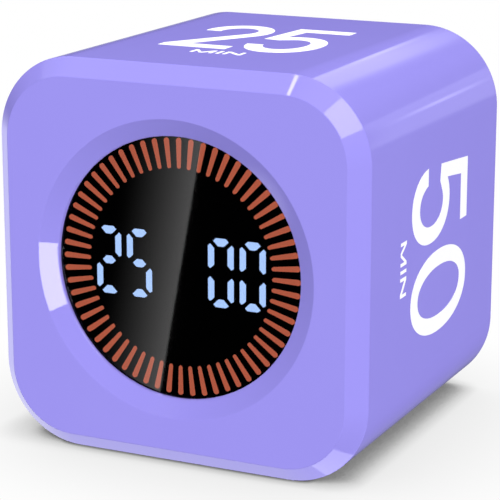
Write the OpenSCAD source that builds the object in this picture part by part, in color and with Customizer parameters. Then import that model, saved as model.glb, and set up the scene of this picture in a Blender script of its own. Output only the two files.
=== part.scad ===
// Cube timer: a moulded cube that is turned onto one of four numbered sides to start a countdown.
// A round smoked lens in the front covers a ring of light bars and four seven-segment digits.
// All pieces are drawn lying on their back, display up, and upright() stands them on their base.

/* [Body] */
// Width and height of the cube
body_w = 60; // [57:0.5:72]
// Depth of the cube from front face to back face
body_d = 56; // [50:0.5:70]
// Radius of the four long corners
corner_r = 12.5; // [11:0.25:14]
// Chamfer round the front face
front_chamfer = 2.6; // [1.5:0.1:3.2]
// Edge break round the back face
rear_edge = 0.4; // [0.2:0.1:0.6]
// Thickness of the side walls
side_wall = 2.2; // [1.9:0.1:2.6]
// Thickness of the front wall
front_wall = 2; // [1.9:0.1:3]
// Radius of the screw posts in the corners
post_r = 3.2; // [2.6:0.1:3.6]
// Bite of each post into the corner wall behind it
post_bite = 0.5; // [0.3:0.1:1]

/* [Dish and lens] */
// Flat face left between the front chamfer and the dish
face_rim = 4.9; // [4:0.1:6]
// Width of the sloping wall of the dish
dish_slope = 2.8; // [2:0.1:3.5]
// Depth of the sloping wall of the dish
dish_depth = 1.7; // [1:0.1:1.9]
// Lap of the lens behind the edge of the window
lens_lap = 1.3; // [1.2:0.1:1.6]
// Thickness of the lens
lens_t = 0.5; // [0.5:0.1:1.5]
// Thickness of the adhesive ring in front of the lens
tape_t = 0.1; // [0.1:0.05:0.3]
// Setback of the adhesive ring from the edge of the window
tape_setback = 0.2; // [0.1:0.05:0.4]

/* [Display] */
// Number of light bars in the ring
tick_count = 60; // [48:12:60]
// Length of each light bar
tick_l = 4.5; // [4:0.1:5]
// Width of each light bar at its outer end
tick_outer_w = 0.8; // [0.7:0.05:1]
// Width of each light bar at its inner end
tick_inner_w = 0.55; // [0.5:0.05:0.7]
// Gap between the light bars and the edge of the window
tick_margin = 0.3; // [0.3:0.05:0.6]
// Height of a digit
digit_h = 10.3; // [9:0.1:11]
// Width of a digit
digit_w = 4.1; // [3.9:0.1:4.5]
// Distance between the two digits of a pair
digit_pitch = 5.1; // [4.9:0.05:5.3]
// Gap between the outer digits and the ring of light bars
digit_margin = 0.5; // [0.2:0.05:0.8]
// Width of the upright segments
upright_w = 0.95; // [0.8:0.05:1.15]
// Width of the level segments
level_w = 1.15; // [1:0.05:1.4]
// Distance of the segments' tips from the corners of a digit
corner_cut = 0.85; // [0.75:0.05:1]
// Gap between the upper and the lower upright segments
waist_gap = 1.25; // [0.9:0.05:1.5]
// Setback of the middle segment's tips from those of the other level segments
middle_cut = 0.15; // [0:0.05:0.3]
// Depth of the light bars and segments
glow_t = 1.5; // [1:0.1:2.5]
// Clearance of the light bars and segments in the frame
glow_clearance = 0.08; // [0.05:0.01:0.1]
// Thickness of the display frame
frame_t = 5; // [4:0.1:6]
// Reach of the display frame past the edge of the window
frame_lap = 1.1; // [0.8:0.1:1.2]
// Radius of the pegs that locate the display frame
peg_r = 0.6; // [0.5:0.05:0.7]
// Thickness of the display board
display_board_t = 1.2; // [1:0.1:1.6]
// Edge of the display board past its screws
board_edge = 2.2; // [2:0.1:2.4]
// Radius of the bosses that carry the display board
boss_r = 2.2; // [2:0.1:2.4]
// Gap between the lens and the display bosses
boss_gap = 0.8; // [0.4:0.1:1]

/* [Back cover] */
// Thickness of the back cover
cover_t = 2.4; // [2.1:0.1:3]
// Gap round the back cover
cover_gap = 0.15; // [0.1:0.05:0.3]
// Width of the ledge that carries the back cover
cover_ledge = 1.1; // [0.8:0.1:1.2]
// Length of each locating tongue inside the cover
tongue_l = 22; // [16:1:24]
// Height of the locating tongues
tongue_h = 3; // [2:0.5:4]
// Thickness of the locating tongues
tongue_t = 1.2; // [1:0.1:1.5]
// Gap between the locating tongues and the side walls
tongue_gap = 0.2; // [0.1:0.05:0.3]
// Radius of the sound holes
sound_hole_r = 0.9; // [0.6:0.1:1.1]
// Radius of the ring of sound holes
sound_ring_r = 3.4; // [3:0.1:4]

/* [Main board] */
// Gap between the main board and the side walls
main_board_gap = 5.6; // [5.4:0.1:6.5]
// Corner radius of the main board
main_board_r = 8; // [8:0.5:10]
// Thickness of the main board
main_board_t = 1.6; // [1:0.1:2]
// Height of the standoffs between the cover and the main board
standoff_h = 6.6; // [6.4:0.1:8]
// Radius of the standoffs
standoff_r = 2.2; // [2:0.1:2.5]
// Distance of the standoffs from the sides of the main board
standoff_inset = 4.7; // [4.2:0.1:5]
// Distance of the buzzer above the centre
buzzer_up = 11; // [10:0.5:12]
// Radius of the buzzer
buzzer_r = 6; // [5:0.5:6.5]
// Height of the buzzer
buzzer_h = 5; // [4:0.1:5.5]
// Radius of the buzzer's sound hole
buzzer_hole_r = 1; // [0.8:0.1:1.5]

/* [Controls] */
// Distance of the buttons from the centre line
button_x = 14; // [13.9:0.1:15]
// Distance of the buttons and the switch below the centre
controls_down = 4; // [3:0.5:5]
// Radius of a button
button_r = 3.5; // [3:0.1:3.7]
// Clearance round a button and round the switch knob
button_clearance = 0.15; // [0.1:0.05:0.25]
// Depth of the buttons and the switch knob below the back face
button_sunk = 0.3; // [0.2:0.1:0.5]
// Depth of the finger hollow in a button
button_hollow = 0.3; // [0.2:0.05:0.5]
// Travel of a button
button_travel = 0.5; // [0.3:0.1:0.6]
// Reach of a button's flange past the button
flange_w = 0.9; // [0.6:0.1:1]
// Thickness of a button's flange
flange_t = 1; // [0.8:0.1:1.2]
// Height of the guide collar round each button
collar_h = 1.2; // [1:0.1:1.4]
// Wall of the guide collar round each button
collar_wall = 1; // [0.8:0.1:1.2]
// Width of a key switch
key_w = 6; // [5:0.5:6]
// Height of a key switch
key_h = 3.4; // [3.2:0.1:3.5]
// Radius of a key switch's plunger
plunger_r = 1.7; // [1.4:0.1:2]
// Length of plunger inside its key switch
plunger_seat = 1; // [0.8:0.1:1.5]
// Distance between two of the three switch positions
detent = 2; // [1.5:0.1:2.2]
// Length of the switch knob's grip
knob_l = 3.5; // [3:0.1:3.8]
// Width of the switch knob's grip
knob_w = 2.6; // [2.2:0.1:3]
// Width of a grip groove in the switch knob
grip_groove_w = 0.4; // [0.2:0.1:0.5]
// Depth of a grip groove in the switch knob
grip_groove_d = 0.3; // [0.1:0.1:0.5]
// Thickness of the switch knob's shutter
shutter_t = 0.8; // [0.6:0.1:1]
// Lap of the shutter past the switch slot
shutter_lap = 0.8; // [0.4:0.1:0.9]
// Length of the slide switch
slide_l = 9; // [8.6:0.1:9.4]
// Width of the slide switch
slide_w = 4; // [3.5:0.1:4.5]
// Height of the slide switch
slide_h = 3.4; // [3:0.1:3.6]
// Side of the slide switch's square lever
lever_w = 1.4; // [1.2:0.1:1.6]

/* [Power] */
// Distance of the charging port below the centre
port_down = 18; // [17:0.5:18.5]
// Width of the charging socket
socket_w = 8.94; // [8.6:0.02:9.2]
// Height of the charging socket
socket_h = 3.26; // [3:0.02:3.4]
// Wall of the charging socket's shell
socket_wall = 0.3; // [0.2:0.05:0.35]
// Setback of the charging socket's mouth from the back face
socket_sunk = 0.4; // [0.2:0.1:0.8]
// Clearance round the charging socket in the cover
socket_clearance = 0.2; // [0.1:0.05:0.3]
// Width of the charging socket's tongue
tongue_plate_w = 6.7; // [6.2:0.1:6.9]
// Thickness of the charging socket's tongue
tongue_plate_t = 0.7; // [0.6:0.05:0.8]
// Width of the battery
battery_w = 26; // [24:0.5:27]
// Length of the battery
battery_l = 33; // [30:0.5:34]
// Thickness of the battery
battery_t = 8; // [7:0.5:9]
// Radius of the battery's long edges
battery_edge_r = 1.5; // [1:0.1:3]
// Distance of the battery's middle below the centre
battery_down = 2.5; // [2:0.5:3]
// Thickness of the foam pad under the battery
pad_t = 0.5; // [0.3:0.1:1]
// Setback of the foam pad from the battery's sides
pad_setback = 2; // [1:0.5:4]
// Height of the battery plug
plug_h = 3.5; // [3:0.1:3.8]
// Depth of the battery plug
plug_l = 3.6; // [3:0.1:4]
// Wall of the battery plug round its leads
plug_wall = 1; // [0.6:0.1:1.5]
// Radius of a battery lead
lead_r = 0.6; // [0.4:0.05:0.7]
// Distance between the two battery leads
lead_pitch = 2; // [1.8:0.1:2.5]
// Straight length of a lead at the battery and at the plug
lead_straight = 0.4; // [0.2:0.1:0.8]
// Distance from the battery to the flat cable and to the charger
cable_offset = 4.5; // [4:0.1:5]
// Width of the flat cable between the boards
ribbon_w = 7; // [5:0.5:9]
// Thickness of the flat cable
ribbon_t = 0.3; // [0.2:0.05:0.4]
// Sideways slack of the flat cable
ribbon_slack = 3; // [1:0.5:4]
// Length of flat cable inside each socket
ribbon_grip = 1.2; // [1:0.1:1.6]
// Height of a flat cable socket
ribbon_socket_h = 2; // [1.8:0.1:3]
// Depth of a flat cable socket
ribbon_socket_l = 3.2; // [2.4:0.1:4]

/* [Board parts] */
// Length of a light-emitting diode
led_l = 1; // [0.8:0.05:1.1]
// Width of a light-emitting diode
led_w = 0.5; // [0.4:0.05:0.6]
// Height of a light-emitting diode
led_h = 0.4; // [0.3:0.05:0.6]
// Side of the controller chip
controller_w = 7; // [5:0.5:9]
// Height of the controller chip
controller_h = 1; // [0.8:0.1:1.6]
// Side of the gravity sensor
sensor_w = 3; // [2:0.5:4]
// Distance of the gravity sensor from the centre
sensor_x = 9; // [8:0.5:12]
// Side of the charger chip
charger_w = 4; // [3:0.5:4.5]
// Height of the charger chip
charger_h = 1.4; // [1:0.1:1.8]
// Width and pitch of a chip's leads
pin_w = 0.4; // [0.3:0.05:0.5]
// Reach of a chip's leads
pin_l = 0.8; // [0.5:0.1:1]
// Depth of solder under each part on a board
solder_t = 0.05; // [0.03:0.01:0.1]

/* [Screws] */
// Shank radius of the cover screws
cover_screw_r = 1.25; // [1:0.05:1.3]
// Shank radius of the board screws
board_screw_r = 1; // [0.8:0.05:1.1]
// Length of a screw in its post, boss or standoff
thread_l = 5; // [4:0.5:5.5]
// Depth of a cover screw's head below the back face
head_sunk = 0.3; // [0.2:0.1:0.6]
// Clearance round a screw's shank
screw_clearance = 0.05; // [0.04:0.01:0.1]
// Clearance round a screw's head
head_clearance = 0.2; // [0.1:0.05:0.3]
// Spare depth of a screw's hole
hole_spare = 0.5; // [0.3:0.1:0.8]

/* [Hidden] */
$fn = 96;
eps = 0.01;
lavender = [0.62, 0.58, 0.95];
smoke = [0.06, 0.06, 0.08];
black = [0.1, 0.1, 0.11];
steel = [0.75, 0.76, 0.78];
board_green = [0.05, 0.3, 0.18];

body_half = body_w / 2;
inner_half = body_half - side_wall;
inner_r = corner_r - side_wall;
corner_c = body_half - corner_r;
post_c = corner_c + (inner_r - post_r + post_bite) / sqrt(2);

dish_r = body_half - front_chamfer - face_rim;
window_r = dish_r - dish_slope;
lens_r = window_r + lens_lap;
frame_r = window_r + frame_lap;
tick_outer_r = window_r - tick_margin;
tick_inner_r = tick_outer_r - tick_l;
tick_middle_r = (tick_inner_r + tick_outer_r) / 2;

// Heights above the back face of what hangs on the front wall
front_inside = body_d - front_wall;
lens_top = front_inside - tape_t;
lens_bottom = lens_top - lens_t;
frame_bottom = lens_bottom - frame_t;
display_back = frame_bottom - display_board_t;
boss_ring_r = lens_r + boss_gap + boss_r;
boss_c = boss_ring_r / sqrt(2);
display_board_r = boss_ring_r + board_edge;
peg_ring_r = (frame_r + tick_outer_r) / 2;

// Segments of a digit as [x, y, turn, length, width, tip to outer side], outer side along +Y at turn 0
level_l = digit_w - 2 * corner_cut;
level_y = (digit_h - level_w) / 2;
upright_l = digit_h / 2 - corner_cut - waist_gap / 2;
upright_x = (digit_w - upright_w) / 2;
upright_y = (upright_l + waist_gap) / 2;
segments = [
  [0, level_y, 0, level_l, level_w, level_w / 3],
  [0, 0, 0, level_l - 2 * middle_cut, level_w, level_w / 2],
  [0, -level_y, 180, level_l, level_w, level_w / 3],
  for (sx = [-1, 1], sy = [-1, 1])
    [sx * upright_x, sy * upright_y, -90 * sx, upright_l, upright_w, upright_w / 3]
];

// The outer digits sit where their corners clear the ring of light bars
digit_corner_y = digit_h / 2 - corner_cut - upright_w / 3;
digit_x = sqrt(pow(tick_inner_r - digit_margin, 2) - pow(digit_corner_y, 2)) - digit_w / 2;
digit_xs = [-digit_x, digit_pitch - digit_x, digit_x - digit_pitch, digit_x];

// Heights above the back face of what stands on the cover
board_back = cover_t + standoff_h;
board_front = board_back + main_board_t;
solder_back = board_back - solder_t;
solder_front = board_front + solder_t;
main_half = inner_half - main_board_gap;
standoff_c = main_half - standoff_inset;
cover_half = inner_half + cover_ledge - cover_gap;
cover_r = inner_r + cover_ledge - cover_gap;
screw_head_share = 1.8;
cover_head_r = screw_head_share * cover_screw_r;
cover_head_seat = head_sunk + cover_screw_r;

// A button's flange rests a hair behind its collar, with the key switch's plunger on it
rest_gap = 0.1;
flange_z = cover_t + collar_h + rest_gap;
plunger_tip = flange_z + flange_t;
key_face = solder_back - key_h;
button_places = [[-button_x, -controls_down], [button_x, -controls_down]];

// The shutter covers the switch slot at all three positions
shutter_z = cover_t + rest_gap;
slot_half = knob_l / 2 + detent + button_clearance;
shutter_half = slot_half + detent + shutter_lap / 2;
knob_cup_h = 1.3;
knob_cup_wall = 0.8;
slide_face = solder_back - slide_h;
lever_tip = shutter_z + shutter_t / 2 + rest_gap;
lever_seat = 1.2;

battery_bottom = board_front + pad_t;
battery_end = battery_l / 2 - battery_down;
plug_top = solder_front + plug_h;
lead_z = battery_bottom + battery_t - 2 * lead_r;
lead_bend_r = lead_z - plug_top - lead_straight;
plug_y = battery_end + lead_straight + lead_bend_r;
side_x = battery_w / 2 + cable_offset;
ribbon_start = solder_front + ribbon_socket_h;
ribbon_end = display_back - solder_t - ribbon_socket_h;

// Stands what lies on its back upright: the display then faces -Y and the base is at Z 0
module upright() {
  translate([0, body_d / 2, body_half]) rotate([90, 0, 0]) children();
}

module at_corners(c) {
  for (sx = [-1, 1], sy = [-1, 1]) translate([sx * c, sy * c, 0]) children();
}

module at_buttons() {
  for (place = button_places) translate(place) children();
}

// Puts a part that is drawn standing on Z 0 under a board, head down
module hung(z) {
  translate([0, 0, z]) rotate([180, 0, 0]) children();
}

module rod(r, z0, z1) {
  translate([0, 0, z0]) cylinder(r = r, h = z1 - z0);
}

module brick(w, l, z0, z1) {
  translate([-w / 2, -l / 2, z0]) cube([w, l, z1 - z0]);
}

module soft_rect(w, l, r) {
  square([w, l - 2 * r], center = true);
  square([w - 2 * r, l], center = true);
  for (sx = [-1, 1], sy = [-1, 1]) translate([sx * (w / 2 - r), sy * (l / 2 - r)]) circle(r);
}

module soft_block(half, r, z0, z1) {
  translate([0, 0, z0]) linear_extrude(z1 - z0) soft_rect(2 * half, 2 * half, r);
}

module obround_block(w, l, z0, z1) {
  translate([0, 0, z0]) linear_extrude(z1 - z0) {
    square([w - l, l], center = true);
    for (s = [-1, 1]) translate([s * (w - l) / 2, 0]) circle(l / 2);
  }
}

// A block with round corners whose top and bottom edges are cut at 45 degrees
module bevelled_block(half, r, h, top, bottom) {
  side = [[-half, bottom], [bottom - half, 0], [half - bottom, 0], [half, bottom],
          [half, h - top], [half - top, h], [top - half, h], [-half, h - top]];
  for (turn = [0, 90])
    rotate(turn) translate([0, half - r, 0]) rotate([90, 0, 0]) linear_extrude(2 * (half - r)) polygon(side);
  at_corners(half - r)
    rotate_extrude() polygon([[0, 0], [r - bottom, 0], [r, bottom], [r, h - top], [r - top, h], [0, h]]);
}

// Screw with a cross slot: its shank points up from the underside of its head, at Z 0
module screw(shank_r, shank_l) {
  head_r = screw_head_share * shank_r;
  difference() {
    union() {
      rod(head_r, -shank_r, 0);
      rod(shank_r, -eps, shank_l);
    }
    for (turn = [0, 90]) rotate(turn) brick(shank_r / 2, 1.3 * head_r, -shank_r - eps, -shank_r / 2);
  }
}

// Chip with a row of flat leads on each of its four sides
module chip(w, h) {
  lift = pin_w / 4;
  pins = floor((w - pin_w) / (2 * pin_w));
  brick(w, w, lift, h);
  for (turn = [0 : 90 : 270], k = [0 : pins - 1])
    rotate(turn) translate([(2 * k - pins + 1) * pin_w, w / 2, 0]) brick(pin_w, 2 * pin_l, 0, 2 * lift);
}

// One tapered light bar with round ends, on the +X axis
module tick_outline(grow) {
  inner = tick_inner_w / 2;
  outer = tick_outer_w / 2;
  near = tick_inner_r + inner;
  far = tick_outer_r - outer;
  polygon([[near, -inner - grow], [far, -outer - grow], [far, outer + grow], [near, inner + grow]]);
  translate([near, 0]) circle(inner + grow);
  translate([far, 0]) circle(outer + grow);
}

module at_ticks() {
  for (k = [0 : tick_count - 1]) rotate(90 + k * 360 / tick_count) children();
}

// A segment along X with pointed ends, whose tips lie a stated distance from its outer side
module segment_outline(length, width, tip, grow) {
  half = length / 2 + grow * sqrt(2);
  side = width / 2 + grow;
  tip_y = width / 2 - tip;
  outer = half - side + tip_y;
  inner = half - side - tip_y;
  polygon([[-half, tip_y], [-outer, side], [outer, side], [half, tip_y], [inner, -side], [-inner, -side]]);
}

module all_segments(grow) {
  for (x = digit_xs, s = segments)
    translate([x + s[0], s[1]]) rotate(s[2]) segment_outline(s[3], s[4], s[5], grow);
}

// Ring of sound holes with one hole in its middle
module sound_holes(z0, z1) {
  rod(sound_hole_r, z0, z1);
  for (turn = [0 : 60 : 300]) rotate(turn) translate([sound_ring_r, 0, 0]) rod(sound_hole_r, z0, z1);
}

module ribbon_socket() {
  slot_floor = ribbon_socket_h - ribbon_grip - rest_gap;
  difference() {
    brick(ribbon_socket_l, ribbon_w + ribbon_socket_l, 0, ribbon_socket_h);
    brick(ribbon_t + rest_gap, ribbon_w + rest_gap, slot_floor, ribbon_socket_h + eps);
  }
}

module button(place) {
  hollow_r = 0.8 * button_r;
  hollow_ball_r = (pow(hollow_r, 2) + pow(button_hollow, 2)) / (2 * button_hollow);
  translate(place) difference() {
    union() {
      rod(button_r, button_sunk, flange_z + eps);
      rod(button_r + flange_w, flange_z, plunger_tip);
    }
    translate([0, 0, button_sunk + button_hollow - hollow_ball_r]) sphere(hollow_ball_r);
  }
}

module key_switch(place) {
  translate(place) difference() {
    brick(key_w, key_w, key_face, solder_back);
    rod(plunger_r + rest_gap, key_face - eps, key_face + plunger_seat + button_travel + rest_gap);
  }
}

module key_plunger(place) {
  translate(place) rod(plunger_r, plunger_tip, key_face + plunger_seat);
}

module housing() {
  color(lavender) upright() {
    difference() {
      bevelled_block(body_half, corner_r, body_d, front_chamfer, rear_edge);
      soft_block(inner_half, inner_r, cover_t - eps, front_inside);
      soft_block(inner_half + cover_ledge, inner_r + cover_ledge, -eps, cover_t);
      rod(window_r, front_inside - eps, body_d);
      translate([0, 0, body_d - dish_depth]) cylinder(r1 = window_r, r2 = dish_r, h = dish_depth);
    }
    at_corners(post_c) difference() {
      rod(post_r, cover_t, front_inside + eps);
      rod(cover_screw_r + screw_clearance, cover_t - eps, cover_t + thread_l + hole_spare);
    }
    at_corners(boss_c) difference() {
      rod(boss_r, frame_bottom, front_inside + eps);
      rod(board_screw_r + screw_clearance, frame_bottom - eps, frame_bottom + thread_l + hole_spare);
    }
  }
}

module back_cover() {
  tongue_y = inner_half - tongue_gap - tongue_t / 2;
  through = cover_t + collar_h + eps;
  color(lavender) upright() difference() {
    union() {
      soft_block(cover_half, cover_r, 0, cover_t);
      for (turn = [0 : 90 : 270])
        rotate(turn) translate([0, tongue_y, 0]) brick(tongue_l, tongue_t, cover_t - eps, cover_t + tongue_h);
      at_corners(standoff_c) rod(standoff_r, cover_t - eps, board_back);
      at_buttons() rod(button_r + button_clearance + collar_wall, cover_t - eps, cover_t + collar_h);
    }
    at_corners(post_c) {
      rod(cover_screw_r + screw_clearance, -eps, through);
      rod(cover_head_r + head_clearance, -eps, cover_head_seat);
    }
    at_corners(standoff_c)
      rod(board_screw_r + screw_clearance, board_back - thread_l - hole_spare, board_back + eps);
    at_buttons() rod(button_r + button_clearance, -eps, through);
    translate([0, -controls_down, 0]) brick(2 * slot_half, knob_w + 2 * button_clearance, -eps, through);
    translate([0, -port_down, 0])
      obround_block(socket_w + 2 * socket_clearance, socket_h + 2 * socket_clearance, -eps, through);
    translate([0, buzzer_up, 0]) sound_holes(-eps, through);
  }
}

module display_lens() {
  color(smoke) upright() rod(lens_r, lens_bottom, lens_top);
}

module lens_tape() {
  color(black) upright() difference() {
    rod(lens_r, lens_top, front_inside);
    rod(window_r + tape_setback, lens_top - eps, front_inside + eps);
  }
}

module display_frame() {
  color(black) upright() {
    translate([0, 0, frame_bottom]) linear_extrude(frame_t) difference() {
      circle(frame_r);
      at_ticks() tick_outline(glow_clearance);
      all_segments(glow_clearance);
    }
    for (sx = [-1, 1]) translate([sx * peg_ring_r, 0, 0]) rod(peg_r, display_back, frame_bottom + eps);
  }
}

module tick_light_bars() {
  color([0.72, 0.36, 0.25]) upright()
    translate([0, 0, lens_bottom - glow_t]) linear_extrude(glow_t) at_ticks() tick_outline(0);
}

module digit_light_bars() {
  color([0.67, 0.82, 1]) upright()
    translate([0, 0, lens_bottom - glow_t]) linear_extrude(glow_t) all_segments(0);
}

module display_board() {
  color(board_green) upright() difference() {
    rod(display_board_r, display_back, frame_bottom);
    at_corners(boss_c) rod(board_screw_r + screw_clearance, display_back - eps, frame_bottom + eps);
    for (sx = [-1, 1])
      translate([sx * peg_ring_r, 0, 0]) rod(peg_r + rest_gap, display_back - eps, frame_bottom + eps);
  }
}

module tick_leds() {
  foot = frame_bottom + solder_t;
  color([1, 0.75, 0.3]) upright()
    at_ticks() translate([tick_middle_r, 0, 0]) brick(led_l, led_w, foot, foot + led_h);
}

module digit_leds() {
  foot = frame_bottom + solder_t;
  color([0.85, 0.93, 1]) upright() for (x = digit_xs, s = segments)
    translate([x + s[0], s[1], 0]) rotate(s[2]) brick(led_l, led_w, foot, foot + led_h);
}

module controller_chip() {
  color(black) upright() hung(display_back - solder_t) chip(controller_w, controller_h);
}

module gravity_sensor() {
  color(black) upright()
    translate([sensor_x, 0, 0]) hung(display_back - solder_t) chip(sensor_w, controller_h);
}

module display_screws() {
  color(steel) upright()
    at_corners(boss_c) translate([0, 0, display_back]) screw(board_screw_r, display_board_t + thread_l);
}

module main_board() {
  color(board_green) upright() difference() {
    soft_block(main_half, main_board_r, board_back, board_front);
    at_corners(standoff_c) rod(board_screw_r + screw_clearance, board_back - eps, board_front + eps);
  }
}

module main_board_screws() {
  color(steel) upright()
    at_corners(standoff_c) hung(board_front) screw(board_screw_r, main_board_t + thread_l);
}

module charger_chip() {
  color(black) upright() translate([side_x, 0, solder_front]) chip(charger_w, charger_h);
}

module buzzer() {
  rim = 0.5;
  chamber = buzzer_h / 3;
  color(black) upright() translate([0, buzzer_up, solder_back - buzzer_h]) rotate_extrude()
    polygon([[0, chamber], [buzzer_hole_r, chamber], [buzzer_hole_r, 0], [buzzer_r - rim, 0],
             [buzzer_r, rim], [buzzer_r, buzzer_h], [0, buzzer_h]]);
}

module usb_socket_shell() {
  walls = 2 * socket_wall;
  color(steel) upright() translate([0, -port_down, 0]) difference() {
    obround_block(socket_w, socket_h, socket_sunk, solder_back);
    obround_block(socket_w - walls, socket_h - walls, socket_sunk - eps, solder_back + eps);
  }
}

module usb_socket_tongue() {
  plug_fit = 2 * (socket_wall + solder_t);
  base_h = 1.8;
  tongue_sunk = 1;
  color(black) upright() translate([0, -port_down, 0]) {
    obround_block(socket_w - plug_fit, socket_h - plug_fit, solder_back - base_h, solder_back);
    brick(tongue_plate_w, tongue_plate_t, socket_sunk + tongue_sunk, solder_back - base_h + eps);
  }
}

module start_button() {
  color(lavender) upright() button(button_places[0]);
}

module set_button() {
  color(lavender) upright() button(button_places[1]);
}

module start_key_switch() {
  color(black) upright() key_switch(button_places[0]);
}

module set_key_switch() {
  color(black) upright() key_switch(button_places[1]);
}

module start_key_plunger() {
  color(steel) upright() key_plunger(button_places[0]);
}

module set_key_plunger() {
  color(steel) upright() key_plunger(button_places[1]);
}

module mode_knob() {
  shutter_w = knob_w + 2 * (button_clearance + shutter_lap);
  shutter_top = shutter_z + shutter_t;
  cup_w = lever_w + 2 * knob_cup_wall;
  cup_top = shutter_top + knob_cup_h;
  pocket = lever_w + rest_gap;
  color(black) upright() translate([0, -controls_down, 0]) difference() {
    union() {
      brick(knob_l, knob_w, button_sunk, shutter_z + eps);
      brick(2 * shutter_half, shutter_w, shutter_z, shutter_top);
      brick(cup_w, cup_w, shutter_top - eps, cup_top);
    }
    brick(pocket, pocket, shutter_z + shutter_t / 2, cup_top + eps);
    for (k = [-1 : 1]) translate([k * knob_l / 4, 0, 0])
      brick(grip_groove_w, knob_w + eps, button_sunk - eps, button_sunk + grip_groove_d);
  }
}

module mode_slide_switch() {
  color(steel) upright() translate([0, -controls_down, 0]) difference() {
    brick(slide_l, slide_w, slide_face, solder_back);
    brick(lever_w + 2 * detent + 4 * rest_gap, lever_w + 2 * rest_gap, slide_face - eps,
          slide_face + lever_seat + rest_gap);
  }
}

module mode_switch_lever() {
  color(black) upright()
    translate([0, -controls_down, 0]) brick(lever_w, lever_w, lever_tip, slide_face + lever_seat);
}

module battery() {
  color([0.75, 0.77, 0.8]) upright() translate([0, battery_end, battery_bottom + battery_t / 2])
    rotate([90, 0, 0]) linear_extrude(battery_l) soft_rect(battery_w, battery_t, battery_edge_r);
}

module battery_pad() {
  color([0.3, 0.3, 0.32]) upright() translate([0, -battery_down, 0])
    brick(battery_w - 2 * pad_setback, battery_l - 2 * pad_setback, board_front, battery_bottom);
}

// Each lead leaves the end of the battery, turns down through a quarter circle and enters the plug
module battery_leads() {
  color([0.7, 0.1, 0.1]) upright() for (sx = [-1, 1]) translate([sx * lead_pitch / 2, 0, 0]) {
    translate([0, battery_end, lead_z]) rotate([-90, 0, 0]) cylinder(r = lead_r, h = lead_straight);
    translate([0, battery_end + lead_straight, lead_z - lead_bend_r]) rotate([90, 0, 90])
      rotate_extrude(angle = 90) translate([lead_bend_r, 0]) circle(lead_r);
    translate([0, plug_y, 0]) rod(lead_r, plug_top, plug_top + lead_straight);
  }
}

module battery_plug() {
  color([0.9, 0.88, 0.82]) upright() translate([0, plug_y, 0])
    brick(lead_pitch + 2 * (lead_r + plug_wall), plug_l, solder_front, plug_top);
}

// The flat cable bows sideways between its two sockets by its slack
module ribbon_cable() {
  steps = 32;
  low = ribbon_start + ribbon_grip;
  rise = ribbon_end - ribbon_grip - low;
  bow = [for (k = [0 : steps]) [ribbon_slack * (cos(360 * k / steps) - 1) / 2, low + rise * k / steps]];
  path = concat([[0, ribbon_start - ribbon_grip]], bow, [[0, ribbon_end + ribbon_grip]]);
  near = [for (p = path) p - [ribbon_t / 2, 0]];
  far = [for (k = [len(path) - 1 : -1 : 0]) path[k] + [ribbon_t / 2, 0]];
  color([0.88, 0.88, 0.85]) upright() translate([-side_x, ribbon_w / 2, 0]) rotate([90, 0, 0])
    linear_extrude(ribbon_w) polygon(concat(near, far));
}

module display_ribbon_socket() {
  color([0.9, 0.88, 0.82]) upright() translate([-side_x, 0, 0]) hung(display_back - solder_t) ribbon_socket();
}

module main_ribbon_socket() {
  color([0.9, 0.88, 0.82]) upright() translate([-side_x, 0, solder_front]) ribbon_socket();
}

module cover_screws() {
  color(steel) upright() at_corners(post_c) translate([0, 0, cover_head_seat])
    screw(cover_screw_r, cover_t - cover_head_seat + thread_l);
}

housing();
back_cover();
display_lens();
lens_tape();
display_frame();
tick_light_bars();
digit_light_bars();
display_board();
tick_leds();
digit_leds();
controller_chip();
gravity_sensor();
display_screws();
main_board();
main_board_screws();
charger_chip();
buzzer();
usb_socket_shell();
usb_socket_tongue();
start_button();
set_button();
start_key_switch();
set_key_switch();
start_key_plunger();
set_key_plunger();
mode_knob();
mode_slide_switch();
mode_switch_lever();
battery();
battery_pad();
battery_leads();
battery_plug();
ribbon_cable();
display_ribbon_socket();
main_ribbon_socket();
cover_screws();
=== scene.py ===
"""Looks of the cube timer: lavender cube, smoked round display, printed sides and the controls behind."""
import math

import bmesh
import bpy
from mathutils import Matrix, Vector


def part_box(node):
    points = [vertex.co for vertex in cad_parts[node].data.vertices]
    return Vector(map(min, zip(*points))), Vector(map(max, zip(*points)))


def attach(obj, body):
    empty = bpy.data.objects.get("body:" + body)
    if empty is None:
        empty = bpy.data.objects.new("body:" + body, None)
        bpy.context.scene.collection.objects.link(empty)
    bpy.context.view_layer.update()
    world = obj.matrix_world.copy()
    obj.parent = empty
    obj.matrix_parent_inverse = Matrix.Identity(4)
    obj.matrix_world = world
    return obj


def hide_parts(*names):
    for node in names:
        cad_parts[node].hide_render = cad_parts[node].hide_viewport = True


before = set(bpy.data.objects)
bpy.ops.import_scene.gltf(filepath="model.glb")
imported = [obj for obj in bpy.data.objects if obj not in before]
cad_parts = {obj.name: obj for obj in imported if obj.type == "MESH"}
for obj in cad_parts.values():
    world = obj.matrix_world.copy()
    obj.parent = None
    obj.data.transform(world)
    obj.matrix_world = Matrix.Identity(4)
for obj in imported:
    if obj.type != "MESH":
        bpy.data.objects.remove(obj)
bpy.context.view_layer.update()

MM = 0.001

# Lengths under which points are one and heights are the same, and the share of a normal that is straight
WELD = 0.001 * MM
LEVEL = 0.01 * MM
STRAIGHT = 0.99

# Angles over which an edge is sharp and under which two faces are one, and how far large faces lead the
# shading
SHARP = math.radians(25)
ONE_FACE = math.radians(1)
LARGE_FACES = 80

# Housing, in millimetres
CORNER_R = 12.5
FRONT_CHAMFER = 2.6
REAR_EDGE = 0.4
DISH_R = 22.5
WINDOW_R = 19.7
DISH_DEPTH = 1.6
LIP_ROUND = 0.27
LIP_STEPS = 5
FRONT_WALL = 2.0
RIM_W = 0.7
COVER_T = 2.4
LEDGE_W = 1.1
HOUSING_EDGE = 0.1
CORNER_STEPS = 24
ROUND_STEPS = 144

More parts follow.
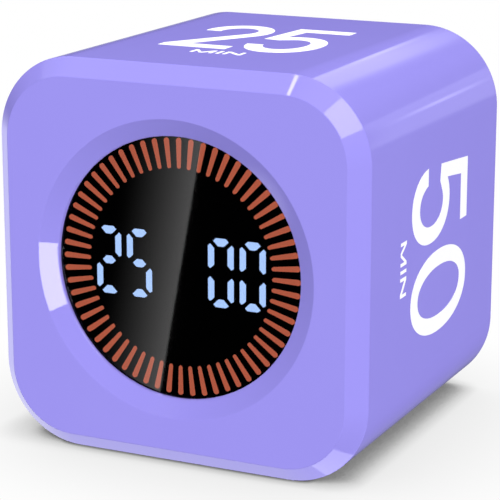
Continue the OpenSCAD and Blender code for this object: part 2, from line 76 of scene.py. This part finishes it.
# Printed numerals, in millimetres
DIGIT_BASE_Y = -9.55
UNIT_BASE_Y = -13.9
UNIT_GAP = 0.65
INK_T = 0.05
INK_PROUD = 0.03

# Lens and its digits, in millimetres
LENS_GAP = 0.05
LENS_RIM = 1.2
LENS_EDGE = 0.12
SEGMENT_DIGIT_W = 4.1
SEGMENT_PITCH = 5.1
SEGMENT_EDGE = 0.04
SEGMENT_EDGE_STEPS = 2

# Places of a digit's bars from its middle: half the width of the middle ones, and the height of the end ones
MIDDLE_BAR_X = 0.5
END_BAR_Z = 2

# Digits that the display shows, and the segments that each one lights
SHOWN = "2500"
LIT = {"2": "abged", "5": "afgcd", "0": "abcdef"}


# Modelling


def alone(piece):
    """Makes a piece the only selected one."""
    bpy.ops.object.select_all(action="DESELECT")
    piece.select_set(True)
    bpy.context.view_layer.objects.active = piece


def open_mesh(piece):
    alone(piece)
    bpy.ops.object.mode_set(mode="EDIT")
    bpy.ops.mesh.select_all(action="DESELECT")


def close_mesh():
    bpy.ops.object.mode_set(mode="OBJECT")


def pick(piece, kind, test):
    """Selects those vertices, edges or faces of an open mesh that pass a test."""
    bpy.ops.mesh.select_mode(type=kind)
    bpy.ops.mesh.select_all(action="DESELECT")
    mesh = bmesh.from_edit_mesh(piece.data)
    for item in {"VERT": mesh.verts, "EDGE": mesh.edges, "FACE": mesh.faces}[kind]:
        if test(item):
            item.select_set(True)
    bmesh.update_edit_mesh(piece.data)


def middle(item):
    return sum((v.co for v in item.verts), Vector()) / len(item.verts)


def extrude(x=0, y=0, z=0):
    bpy.ops.mesh.extrude_region_move(TRANSFORM_OT_translate={"value": (x * MM, y * MM, z * MM)})


def modify(piece, kind, **settings):
    """Adds a modifier and applies it."""
    alone(piece)
    made = piece.modifiers.new(kind, kind)
    for name, value in settings.items():
        setattr(made, name, value)
    bpy.ops.object.modifier_apply(modifier=made.name)


def soften(piece, width, steps=3):
    """Rounds the sharp edges by a small radius, with flat faces that stay flat to the eye."""
    alone(piece)
    bpy.ops.object.shade_smooth()
    modify(piece, "BEVEL", width=width * MM, segments=steps, limit_method="ANGLE", angle_limit=SHARP,
           use_clamp_overlap=True)
    modify(piece, "WEIGHTED_NORMAL", keep_sharp=False, weight=LARGE_FACES)


def settle(piece, body, slot, material, *nodes):
    """Gives a finished piece its body and material, and hides the nodes that it stands for. Its slot is not
    used.
    """
    piece.data.materials.clear()
    piece.data.materials.append(material)
    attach(piece, body)
    if nodes:
        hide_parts(*nodes)
    return piece


def copy_node(node, name):
    """A copy of a node's mesh, welded and freed of the edges inside its flat faces."""
    piece = bpy.data.objects.new(name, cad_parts[node].data.copy())
    bpy.context.scene.collection.objects.link(piece)
    alone(piece)
    bpy.ops.mesh.customdata_custom_splitnormals_clear()
    open_mesh(piece)
    bpy.ops.mesh.select_all(action="SELECT")
    bpy.ops.mesh.remove_doubles(threshold=WELD)
    bpy.ops.mesh.dissolve_limited(angle_limit=ONE_FACE)
    close_mesh()
    return piece


def model_housing():
    """Cube with round long corners, a chamfered front and a dish; open at the back for the cover."""
    low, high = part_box("housing")
    centre = (low + high) / 2
    front, inside = low.y, low.y + FRONT_WALL * MM
    bpy.ops.object.select_all(action="DESELECT")
    bpy.ops.mesh.primitive_cube_add(size=1, location=centre, scale=high - low)
    piece = bpy.context.object
    piece.name = "housing_shell"
    bpy.ops.object.transform_apply(location=True, rotation=True, scale=True)

    open_mesh(piece)
    pick(piece, "EDGE", lambda e: abs((e.verts[0].co - e.verts[1].co).y) > MM)
    bpy.ops.mesh.bevel(offset=CORNER_R * MM, segments=CORNER_STEPS, affect="EDGES")
    for way, cut in ((-1, FRONT_CHAMFER), (1, REAR_EDGE)):
        pick(piece, "FACE", lambda f: f.normal.y * way > STRAIGHT)
        bpy.ops.mesh.region_to_loop()
        bpy.ops.mesh.bevel(offset=cut * MM, segments=1, affect="EDGES", clamp_overlap=False)

    # Rebate and ledge for the cover, then the room inside
    pick(piece, "FACE", lambda f: f.normal.y > STRAIGHT)
    bpy.ops.mesh.inset(thickness=RIM_W * MM, use_even_offset=True)
    extrude(y=-COVER_T)
    bpy.ops.mesh.inset(thickness=LEDGE_W * MM, use_even_offset=True)
    extrude(y=(inside - high.y) / MM + COVER_T)

    # The front opens through a cone and a short lip to the room inside
    pick(piece, "FACE", lambda f: abs(f.normal.y) > STRAIGHT and middle(f).y < inside + LEVEL)
    bpy.ops.mesh.delete(type="ONLY_FACE")
    bpy.ops.mesh.select_mode(type="EDGE")
    bpy.ops.mesh.primitive_circle_add(vertices=ROUND_STEPS, radius=DISH_R * MM, fill_type="NOTHING",
                                      location=(centre.x, front, centre.z), rotation=(math.pi / 2, 0, 0))
    extrude(y=DISH_DEPTH)
    share = WINDOW_R / DISH_R
    bpy.ops.transform.resize(value=(share, 1, share), center_override=centre)
    extrude(y=FRONT_WALL - DISH_DEPTH)
    for y in (front, inside):
        pick(piece, "EDGE", lambda e: e.is_boundary and all(abs(v.co.y - y) < LEVEL for v in e.verts))
        bpy.ops.mesh.bridge_edge_loops()
    lip = front + DISH_DEPTH * MM
    pick(piece, "EDGE", lambda e: all(abs(v.co.y - lip) < LEVEL for v in e.verts))
    bpy.ops.mesh.bevel(offset=LIP_ROUND * MM, segments=LIP_STEPS, affect="EDGES", clamp_overlap=False)
    bpy.ops.mesh.select_all(action="SELECT")
    bpy.ops.mesh.normals_make_consistent(inside=False)
    close_mesh()
    soften(piece, HOUSING_EDGE)
    return piece


def model_lens():
    """Flat disc with a rounded rim, a little clear of the bars behind it."""
    low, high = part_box("display_lens")
    high.y -= LENS_GAP * MM
    bpy.ops.object.select_all(action="DESELECT")
    bpy.ops.mesh.primitive_cylinder_add(
        vertices=ROUND_STEPS, radius=(high.x - low.x) / 2, depth=high.y - low.y, location=(low + high) / 2,
        rotation=(math.pi / 2, 0, 0))
    piece = bpy.context.object
    piece.name = "smoked_lens"
    bpy.ops.object.transform_apply(location=True, rotation=True, scale=True)
    open_mesh(piece)
    pick(piece, "FACE", lambda f: abs(f.normal.y) > STRAIGHT)
    bpy.ops.mesh.inset(thickness=LENS_RIM * MM, use_individual=True)
    close_mesh()
    soften(piece, LENS_EDGE)
    return piece


def segment_at(x, z):
    """The letter of the segment bar whose middle is at a place in its digit, in millimetres."""
    if abs(x) < MIDDLE_BAR_X:
        return "a" if z > END_BAR_Z else "d" if z < -END_BAR_Z else "g"
    return ("b" if z > 0 else "c") if x > 0 else ("f" if z > 0 else "e")


def model_digits(*materials):
    """The segment bars: those that the shown digits light take the first material, the others the second."""
    low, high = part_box("digit_light_bars")
    centre = (low + high) / 2
    outer = (high.x - low.x) / 2 / MM - SEGMENT_DIGIT_W / 2
    places = (-outer, SEGMENT_PITCH - outer, outer - SEGMENT_PITCH, outer)
    piece = copy_node("digit_light_bars", "digit_bars")
    soften(piece, SEGMENT_EDGE, SEGMENT_EDGE_STEPS)
    piece.data.materials.clear()
    for material in materials:
        piece.data.materials.append(material)
    open_mesh(piece)
    bpy.ops.mesh.separate(type="LOOSE")
    close_mesh()
    bars = list(bpy.context.selected_objects)
    for bar in bars:
        spot = (sum((v.co for v in bar.data.vertices), Vector()) / len(bar.data.vertices) - centre) / MM
        which = min(range(len(places)), key=lambda k: abs(places[k] - spot.x))
        lit = segment_at(spot.x - places[which], spot.z) in LIT[SHOWN[which]]
        for face in bar.data.polygons:
            face.material_index = 0 if lit else 1
    bpy.ops.object.join()
    return piece


# Printed numerals, as outlines in millimetres that stand on a base line


def arc(x, y, rx, ry, start, end, steps=40, power=1.0):
    """Points on an ellipse between two angles in degrees; a power below 1 makes it a squarer oval."""
    turns = [math.radians(start + (end - start) * k / steps) for k in range(steps + 1)]
    return [(x + rx * math.copysign(abs(math.cos(t)) ** power, math.cos(t)),
             y + ry * math.copysign(abs(math.sin(t)) ** power, math.sin(t))) for t in turns]


GLYPHS = {
    "0": [arc(6.47, 11.85, 6.47, 11.85, 0, 357, 119, 0.93),
          arc(6.47, 11.85, 3.88, 9.05, 0, 357, 119, 0.93)],
    "1": [[(3.4, 0), (6.1, 0), (6.1, 23.6), (3.7, 23.6), (0, 20.9), (0, 17.8), (3.4, 20.1)]],
    "2": [arc(5.6, 17.2, 5.45, 6.4, 187, -38) + [(4.0, 2.9), (11.4, 2.9), (11.4, 0), (0.2, 0), (0.2, 2.1)]
          + arc(5.6, 17.2, 2.95, 3.65, -30, 191)],
    "5": [[(1.3, 23.6), (10.8, 23.6), (10.8, 20.75), (3.5, 20.75)]
          + arc(5.85, 7.8, 5.9, 7.85, 120, -171, power=0.95)
          + arc(5.85, 8.0, 3.3, 4.9, -162, 112, power=0.97) + [(2.9, 11.55), (0.3, 11.95)]],
    "M": [[(0, 0), (0.5, 0), (0.5, 1.5), (1.5, 0), (2.05, 0), (3.05, 1.5), (3.05, 0), (3.55, 0), (3.55, 2.3),
           (3.05, 2.3), (1.775, 0.45), (0.5, 2.3), (0, 2.3)]],
    "I": [[(0, 0), (0.5, 0), (0.5, 2.3), (0, 2.3)]],
    "N": [[(0, 0), (0.5, 0), (0.5, 1.6), (2.4, 0), (2.95, 0), (2.95, 2.3), (2.45, 2.3), (2.45, 0.7),
           (0.55, 2.3), (0, 2.3)]],
}


def word_outlines(word, gap, middle_x, base):
    """Outlines of a word that stands on a base line, about its middle."""
    widths = [max(x for x, y in GLYPHS[letter][0]) for letter in word]
    left = middle_x - (sum(widths) + gap * (len(word) - 1)) / 2
    outlines = []
    for letter, width in zip(word, widths):
        outlines += [[(left + x, base + y) for x, y in outline] for outline in GLYPHS[letter]]
        left += width + gap
    return outlines


def print_side(name, number, gap, middle_x, along, out):
    """Prints a number of minutes on a side, reading along one axis with its top towards the back."""
    curve = bpy.data.curves.new(name, "CURVE")
    curve.dimensions = "2D"
    curve.fill_mode = "BOTH"
    curve.extrude = INK_T / 2 * MM
    number_lines = word_outlines(number, gap, middle_x, DIGIT_BASE_Y)
    for outline in number_lines + word_outlines("MIN", UNIT_GAP, middle_x, UNIT_BASE_Y):
        line = curve.splines.new("POLY")
        line.points.add(len(outline) - 1)
        for point, (x, y) in zip(line.points, outline):
            point.co = (x * MM, y * MM, 0, 1)
        line.use_cyclic_u = True
    piece = bpy.data.objects.new(name, curve)
    bpy.context.scene.collection.objects.link(piece)
    alone(piece)
    bpy.ops.object.convert(target="MESH")
    low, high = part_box("housing")
    centre = (low + high) / 2
    reach = (high.x - low.x) / 2 + (INK_PROUD - INK_T / 2) * MM
    axes = Matrix((along, (0, 1, 0), out)).transposed().to_4x4()
    piece.matrix_world = Matrix.Translation(centre + reach * Vector(out)) @ axes
    bpy.ops.object.transform_apply(location=True, rotation=True, scale=True)
    open_mesh(piece)
    bpy.ops.mesh.select_all(action="SELECT")
    bpy.ops.mesh.remove_doubles(threshold=WELD)
    bpy.ops.mesh.normals_make_consistent(inside=False)
    close_mesh()
    return piece


# Materials


def rgb(code):
    """Linear colour of an sRGB hex code."""
    parts = [int(code[k:k + 2], 16) / 255 for k in (1, 3, 5)]
    return tuple(c / 12.92 if c <= 0.04045 else ((c + 0.055) / 1.055) ** 2.4 for c in parts) + (1,)


def add(tree, kind, inputs=None, **settings):
    """Adds a node with its settings. An input takes a number, a colour or another node's output."""
    made = tree.nodes.new("ShaderNode" + kind)
    for name, value in settings.items():
        setattr(made, name, value)
    for name, value in (inputs or {}).items():
        if isinstance(value, bpy.types.NodeSocket):
            tree.links.new(value, made.inputs[name])
        else:
            made.inputs[name].default_value = value
    return made


def finish(name, light, dark, grain, roughness, bump=0.0, stretch=(1, 1, 1), **sockets):
    """A moulded, rolled or coated surface: two close tones in grains of a size in millimetres, with gloss and
    relief that follow the same grains."""
    material = bpy.data.materials.new(name)
    material.use_nodes = True
    tree = material.node_tree
    tree.nodes.clear()
    place = add(tree, "TexCoord").outputs["Object"]
    turned = add(tree, "Mapping", {"Vector": place, "Scale": stretch}).outputs["Vector"]
    size = {"Vector": turned, "Scale": 1 / (grain * MM), "Detail": 4, "Roughness": 0.6}
    grains = add(tree, "TexNoise", size)
    tone = add(tree, "Mix", {0: grains.outputs["Fac"], 6: rgb(light), 7: rgb(dark)}, data_type="RGBA")
    gloss = add(tree, "MapRange", {"Value": grains.outputs["Fac"], "To Min": roughness * 0.9,
                                   "To Max": roughness * 1.1})
    surface = {"Base Color": tone.outputs[2], "Roughness": gloss.outputs["Result"]}
    shader = add(tree, "BsdfPrincipled", surface)
    for socket, value in sockets.items():
        shader.inputs[socket.replace("_", " ")].default_value = value
    if bump:
        relief = add(tree, "Bump", {"Height": grains.outputs["Fac"], "Strength": 1, "Distance": bump * MM})
        tree.links.new(relief.outputs["Normal"], shader.inputs["Normal"])
    add(tree, "OutputMaterial", {"Surface": shader.outputs["BSDF"]})
    return material


def glow(name, light, dark, strength):
    """A moulded diffuser lit from behind, whose light has the same two close tones as its plastic."""
    material = finish(name, light, dark, 1.5, 0.4, Emission_Strength=strength)
    tree = material.node_tree
    shader = tree.nodes["Principled BSDF"]
    tree.links.new(tree.nodes["Mix"].outputs[2], shader.inputs["Emission Color"])
    return material


# Gloss ABS, moulded in a polished tool: even colour with faint flow tones
lavender_abs = finish("lavender_abs", "#978FE5", "#948BE3", 18, 0.07, IOR=1.5)
# Pad printing ink: dense white film, a little uneven
white_ink = finish("white_print_ink", "#F9F9FA", "#F4F4F7", 0.8, 0.4, 0.004)
# Acrylic, tinted in the mass and polished: dark smoke that lets the lit bars through
smoked_acrylic = finish("smoked_acrylic", "#4A4A4D", "#47474B", 12, 0.02, IOR=1.49,
                        Transmission_Weight=1.0)
# Diffuser bars with amber light behind them
amber_glow = glow("amber_light_bar", "#B25B41", "#AE583F", 14.4)
# Diffuser bars with blue light behind them, and the same bars unlit
blue_glow = glow("blue_light_bar", "#AECEF9", "#ABCBF5", 14.8)
dark_bar = finish("unlit_light_bar", "#050506", "#030304", 0.8, 0.8, Specular_IOR_Level=0.05)
# Black polycarbonate, moulded with a fine matt texture
black_reflector = finish("black_reflector", "#060607", "#040405", 0.3, 0.8, 0.01,
                         Specular_IOR_Level=0.05)
# Nylon, moulded: satin black with a fine texture
black_nylon = finish("black_nylon", "#1C1C1E", "#141416", 0.4, 0.45, 0.01)
# Nylon, moulded without pigment: warm off-white, satin
white_nylon = finish("white_nylon", "#E8E4D8", "#DDD8CA", 0.5, 0.5, 0.01)
# Glass epoxy board under green solder mask: glossy, in uneven patches of two greens
circuit_board = finish("solder_mask", "#14603A", "#0D4A2B", 1.2, 0.3, 0.02)
# Clear epoxy over a yellow phosphor: pale cream and glossy
led_epoxy = finish("led_epoxy", "#F2E9C8", "#E6DAB0", 0.4, 0.25)
# Filled epoxy, moulded over a chip: matt near-black with a fine grain
chip_epoxy = finish("chip_epoxy", "#1A1A1C", "#111113", 0.2, 0.6, 0.01)
# Zinc plated steel: bright with a slight blue cast and a fine grain
zinc_steel = finish("zinc_plated_steel", "#C6C8CE", "#AEB0B8", 0.3, 0.3, 0.004, Metallic=1.0)
# Stainless steel, drawn into a shell: fine lines along the drawing
drawn_steel = finish("drawn_stainless_steel", "#C9CACD", "#B0B1B5", 0.25, 0.28, 0.003, (1, 0.05, 1),
                     Metallic=1.0)
# Filled plastic of the sounder's case: matt black
sounder_plastic = finish("sounder_plastic", "#151516", "#0E0E0F", 0.4, 0.6, 0.01)
# Laminated pouch foil: dull silver with soft creases
pouch_foil = finish("pouch_foil", "#C4C6CC", "#A9ABB2", 2.5, 0.35, 0.05, Metallic=0.9)
# Closed-cell foam: soft dark grey without any shine
cell_foam = finish("closed_cell_foam", "#2A2A2C", "#1C1C1E", 0.5, 0.9, 0.05)
# Black film tape: matt, with hardly any texture
adhesive_tape = finish("adhesive_tape", "#101011", "#0A0A0B", 0.3, 0.8, 0.01)
# PVC insulation, extruded: red with a soft shine
lead_pvc = finish("lead_insulation", "#A81C1C", "#961717", 0.6, 0.35, 0.005)
# Polyester film over flat copper: pale, with lines along the ribbon
ribbon_film = finish("polyester_ribbon", "#DEDCD2", "#C9C6BA", 0.5, 0.3, 0.005, (1, 0.05, 1))

NODE_MATERIALS = {
    "lens_tape": adhesive_tape, "display_frame": black_reflector, "tick_light_bars": amber_glow,
    "display_board": circuit_board, "main_board": circuit_board, "tick_leds": led_epoxy,
    "digit_leds": led_epoxy, "controller_chip": chip_epoxy, "gravity_sensor": chip_epoxy,
    "charger_chip": chip_epoxy,
    "display_screws": zinc_steel, "main_board_screws": zinc_steel, "buzzer": sounder_plastic,
    "start_key_switch": black_nylon, "set_key_switch": black_nylon, "start_key_plunger": white_nylon,
    "set_key_plunger": white_nylon, "mode_slide_switch": drawn_steel, "mode_switch_lever": black_nylon,
    "battery": pouch_foil, "battery_pad": cell_foam, "battery_leads": lead_pvc, "battery_plug": white_nylon,
    "ribbon_cable": ribbon_film, "display_ribbon_socket": white_nylon, "main_ribbon_socket": white_nylon,
}
for node, material in NODE_MATERIALS.items():
    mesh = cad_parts[node].data
    mesh.materials.clear()
    mesh.materials.append(material)

# Pieces
housing = settle(model_housing(), "case", "lavender_abs", lavender_abs, "housing")
lens = settle(model_lens(), "case", "smoked_acrylic", smoked_acrylic, "display_lens")

digits = model_digits(blue_glow, dark_bar)
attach(digits, "case")
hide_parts("digit_light_bars")

back_pieces = []
for node, body, slot, material, width in (
        ("back_cover", "case", "lavender_abs", lavender_abs, 0.2),
        ("start_button", "start_button", "lavender_abs", lavender_abs, 0.25),
        ("set_button", "set_button", "lavender_abs", lavender_abs, 0.25),
        ("mode_knob", "mode_slider", "black_nylon", black_nylon, 0.2),
        ("usb_socket_shell", "case", "socket_steel", drawn_steel, 0.08),
        ("usb_socket_tongue", "case", "black_nylon", black_nylon, 0.08),
        ("cover_screws", "case", "screw_steel", zinc_steel, 0.12)):
    piece = copy_node(node, node + "_finished")
    soften(piece, width)
    back_pieces.append(settle(piece, body, slot, material, node))

for name, number, gap, middle_x, along, out in (
        ("print_top", "25", 0.75, 0.05, (1, 0, 0), (0, 0, 1)),
        ("print_right", "50", 1.7, -0.15, (0, 0, -1), (1, 0, 0)),
        ("print_left", "10", 1.7, 0, (0, 0, 1), (-1, 0, 0)),
        ("print_bottom", "5", 0, 0, (-1, 0, 0), (0, 0, -1))):
    ink = print_side(name, number, gap, middle_x, along, out)
    ink.data.materials.append(white_ink)
    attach(ink, "case")


# Stage: pale floor, soft light, reflecting panels and the camera


def stage_material(name):
    material = bpy.data.materials.new(name)
    material.use_nodes = True
    material.node_tree.nodes.clear()
    return material


def hide_from(piece, *rays):
    for ray in rays:
        setattr(piece, "visible_" + ray, False)


MIDDLE_Z = 30
END_POWER = 2.2


def straight_card(start, end, width, facing):
    """A flat card from one point to another, in millimetres, that faces the cube unless told otherwise."""
    low, high = Vector(start) * MM, Vector(end) * MM
    run, mid = high - low, (low + high) / 2
    across = run.cross(Vector(facing or Vector((0, 0, MIDDLE_Z * MM)) - mid)).normalized() * width * MM
    bpy.ops.object.select_all(action="DESELECT")
    bpy.ops.mesh.primitive_plane_add(size=1)
    card = bpy.context.object
    normal = run.cross(across).normalized()
    card.matrix_world = Matrix.Translation(mid) @ Matrix((run, across, normal)).transposed().to_4x4()
    return card


def ring_card(centre, y, edges, steps):
    """A flat upright card in the shape of a part of a ring. Each of its two round edges is given by a radius
    in millimetres and the angles, in degrees, where it starts and ends."""
    points = []
    for step in range(steps + 1):
        for radius, first, last in edges:
            angle = math.radians(first + (last - first) * step / steps)
            across = centre[0] + radius * math.cos(angle)
            up = centre[1] + radius * math.sin(angle)
            points.append(Vector((across, y, up)) * MM)
    mesh = bpy.data.meshes.new("ring_card")
    mesh.from_pydata(points, [], [(n, n + 1, n + 3, n + 2) for n in range(0, 2 * steps, 2)])
    card = bpy.data.objects.new("ring_card", mesh)
    bpy.context.scene.collection.objects.link(card)
    return card


def panel(name, card, strength, fades, seen_on, colour):
    """Makes a card a light panel that shows only in reflections. Shares of it may fade in at its start, end,
    low side and high side, and it is kept for some pieces alone."""
    card.name = name
    material = stage_material(name)
    tree = material.node_tree
    shine = add(tree, "Emission", {"Color": (*colour, 1), "Strength": strength})
    place = add(tree, "SeparateXYZ", {"Vector": add(tree, "UVMap").outputs["UV"]})
    sides = zip("XXYY", (0, 1, 0, 1), (1, -1, 1, -1), (END_POWER, END_POWER, 1, 1), fades)
    for axis, near, far, power, share in sides:
        if share:
            reach = {"Value": place.outputs[axis], "From Min": near, "From Max": near + far * share}
            come = add(tree, "MapRange", reach)
            bent = add(tree, "Math", {0: come.outputs["Result"], 1: power}, operation="POWER")
            so_far = shine.inputs["Strength"]
            so_far = so_far.links[0].from_socket if so_far.links else strength
            fade = add(tree, "Math", {0: bent.outputs["Value"], 1: so_far}, operation="MULTIPLY")
            tree.links.new(fade.outputs["Value"], shine.inputs["Strength"])
    clear = add(tree, "BsdfTransparent")
    both = add(tree, "AddShader", {0: shine.outputs["Emission"], 1: clear.outputs["BSDF"]})
    add(tree, "OutputMaterial", {"Surface": both.outputs["Shader"]})
    card.data.materials.append(material)
    hide_from(card, "camera", "diffuse", "transmission", "shadow", "volume_scatter")
    group = bpy.data.collections.new(name)
    for piece in seen_on:
        group.objects.link(piece)
    card.light_linking.receiver_collection = group


EVEN = (0, 0, 0, 0)
BEHIND = (0, -1, 0)
COOL_WHITE, PURE_WHITE = (0.97, 0.97, 1.2), (1, 1, 1)
for name, start, end, width, strength, fades, facing in (
        ("corner_panel", (274, -255, 552), (514, -281, 296), 200, 5.05, EVEN, None),
        ("low_corner_panel", (289, -90, -530), (14, 48, -592), 200, 3.0, EVEN, None),
        ("top_panel", (-514, 1, 400), (-185, -148, 612), 240, 0.61, EVEN, None),
        ("top_line_panel", (-185, -148, 612), (-150, -156, 618), 240, 11.2, EVEN, None),
        ("left_panel", (-578, 211, 58), (14, 48, -592), 420, 1.235, (0.15, 0, 0, 0), None),
        ("edge_panel", (68, 545, 321), (-136, 545, 269), 120, 0.9, (0.41, 0, 0.41, 0), BEHIND),
        ("edge_line_panel", (-101, 540, 257), (-127, 540, 241), 48, 0.55, (0.3, 0, 0.5, 0.4), BEHIND),
        ("low_edge_panel", (217, 545, 187), (259, 545, 5), 90, 0.4, (0.1, 0.15, 0, 0), BEHIND),
        ("low_line_panel", (235, 540, 133), (244, 540, 106), 48, 1.2, (0.3, 0.3, 0.4, 0.5), BEHIND),
        ("low_right_panel", (152, 545, -250), (-190, 545, -235), 160, 0.12, (0.5, 0, 0, 0), BEHIND),
        ("top_left_panel", (-350, 545, 120), (-345, 545, -80), 220, 0.26, (0.4, 0, 0, 0), BEHIND)):
    panel(name, straight_card(start, end, width, facing), strength, fades, [housing], COOL_WHITE)
# Close over the left slope of the dish, so that the chamfers and sides of the cube don't mirror it
dish_card = ring_card((0.55, 29.85), -29, ((19.2, 177, 201.2), (22.8, 175.2, 201.6)), CORNER_STEPS)
panel("dish_panel", dish_card, 10.4, EVEN, [housing], COOL_WHITE)
lens_card = straight_card((-182, -325, -55.5), (-155.7, -325, -60.4), 220, (0, 1, 0))
panel("lens_panel", lens_card, 1.87, (1, 0, 0, 0), [lens], PURE_WHITE)
back_card = straight_card((0, 420, -420), (0, 600, 60), 1600, None)
panel("back_panel", back_card, 0.8, (0.5, 0, 0, 0), back_pieces, PURE_WHITE)

# White floor, 4 m wide, that glows of itself with a painted shadow: it darkens by how much the cube closes it
# in within some distances in millimetres, and no light casts this shade
FLOOR_W = 4
floor_material = stage_material("pale_floor")
tree = floor_material.node_tree
shade = None
# Each row paints a share of the shadow: distance, lean of the hemisphere, darkest level, range of closeness
# and its curve
for distance, leans, darkest, from_min, from_max, power in (
        (0.7, (0, 0, 1), 0.5, 0.2, 0.8, 1),
        (5, (-0.85, -0.42, 0.3), 0.27, 0.44, 0.82, 0.4),
        (9, (0.85, -0.42, 0.3), 0.55, 0.45, 0.87, 0.6),
        (6, (0.8, -0.25, 0.5), 0.12, 0.3, 0.51, 1),
        (30, (0, 0, 1), 0.81, 0.4, 0.98, 1)):
    leaning = add(tree, "CombineXYZ", dict(zip("XYZ", leans))).outputs["Vector"]
    closed = add(tree, "AmbientOcclusion", {"Distance": distance * MM, "Normal": leaning}, samples=16)
    reach = {"Value": closed.outputs["AO"], "From Min": from_min, "From Max": from_max}
    share = add(tree, "MapRange", reach)
    bent = add(tree, "Math", {0: share.outputs["Result"], 1: power}, operation="POWER")
    dim = add(tree, "MapRange", {"Value": bent.outputs["Value"], "To Min": darkest}).outputs["Result"]
    if shade:
        shade = add(tree, "Math", {0: shade, 1: dim}, operation="MULTIPLY").outputs["Value"]
    else:
        shade = dim
white = add(tree, "Emission", {"Strength": shade})
add(tree, "OutputMaterial", {"Surface": white.outputs["Emission"]})
bpy.ops.object.select_all(action="DESELECT")
bpy.ops.mesh.primitive_plane_add(size=FLOOR_W, location=(0, 0, -2 * INK_PROUD * MM))
floor = bpy.context.object
floor.name = "floor"
floor.data.materials.append(floor_material)
hide_from(floor, "diffuse", "glossy", "transmission", "shadow")

# Even light from all round, its faint mirror image, and soft lights by where they come from. None of these
# lights has a mirror image, and those from the front cast no shadow.
AMBIENT = 0.03
AMBIENT_MIRRORED = 0.004
LIGHT_SPREAD = math.radians(20)
for name, come_from, strength in (
        ("upper_left_light", (-0.35, -0.65, 0.67), 0.924),
        ("right_front_light", (0.72, -0.62, -0.32), 0.897),
        ("right_rear_light", (0.88, 0.23, 0.42), 0.44),
        ("top_rear_light", (-0.03, 0.51, 0.86), 0.883),
        ("left_rear_light", (-0.84, 0.48, 0.26), 0.676),
        ("low_rear_light", (0.05, 0.33, -0.94), 0.453),
        ("low_right_light", (0.54, 0.46, -0.71), 0.234)):
    sun = bpy.data.lights.new(name, "SUN")
    sun.energy = strength * math.pi
    sun.angle = LIGHT_SPREAD
    sun.use_shadow = come_from[1] > 0
    light = bpy.data.objects.new(name, sun)
    light.rotation_mode = "QUATERNION"
    light.rotation_quaternion = Vector(come_from).to_track_quat("Z", "Y")
    bpy.context.scene.collection.objects.link(light)
    hide_from(light, "glossy", "transmission")

world = bpy.data.worlds.new("white_room")
world.use_nodes = True
bpy.context.scene.world = world
tree = world.node_tree
tree.nodes.clear()
rays = add(tree, "LightPath")
mirrored = {"Value": rays.outputs["Is Glossy Ray"], "To Min": AMBIENT, "To Max": AMBIENT_MIRRORED}
lit_by = add(tree, "MapRange", mirrored)
looked_at = {"Value": rays.outputs["Is Camera Ray"], "To Min": lit_by.outputs["Result"], "To Max": 1}
seen = add(tree, "MapRange", looked_at)
sky = add(tree, "Background", {"Color": (1, 1, 1, 1), "Strength": seen.outputs["Result"]})
add(tree, "OutputWorld", {"Surface": sky.outputs["Background"]})

# Camera at the photograph's viewing angle
camera = bpy.data.objects.new("camera", bpy.data.cameras.new("camera"))
camera.data.lens = 147.1
camera.data.sensor_width = 36
camera.location = Vector((133.5, -281.4, 106.9)) * MM
target = Vector((0.78, -3.3, 27.7)) * MM
camera.rotation_mode = "QUATERNION"
camera.rotation_quaternion = (target - camera.location).to_track_quat("-Z", "Y")
camera.data.clip_start, camera.data.clip_end = 0.01, 20
bpy.context.scene.collection.objects.link(camera)
bpy.context.scene.camera = camera
bpy.context.scene.view_settings.view_transform = "Standard"
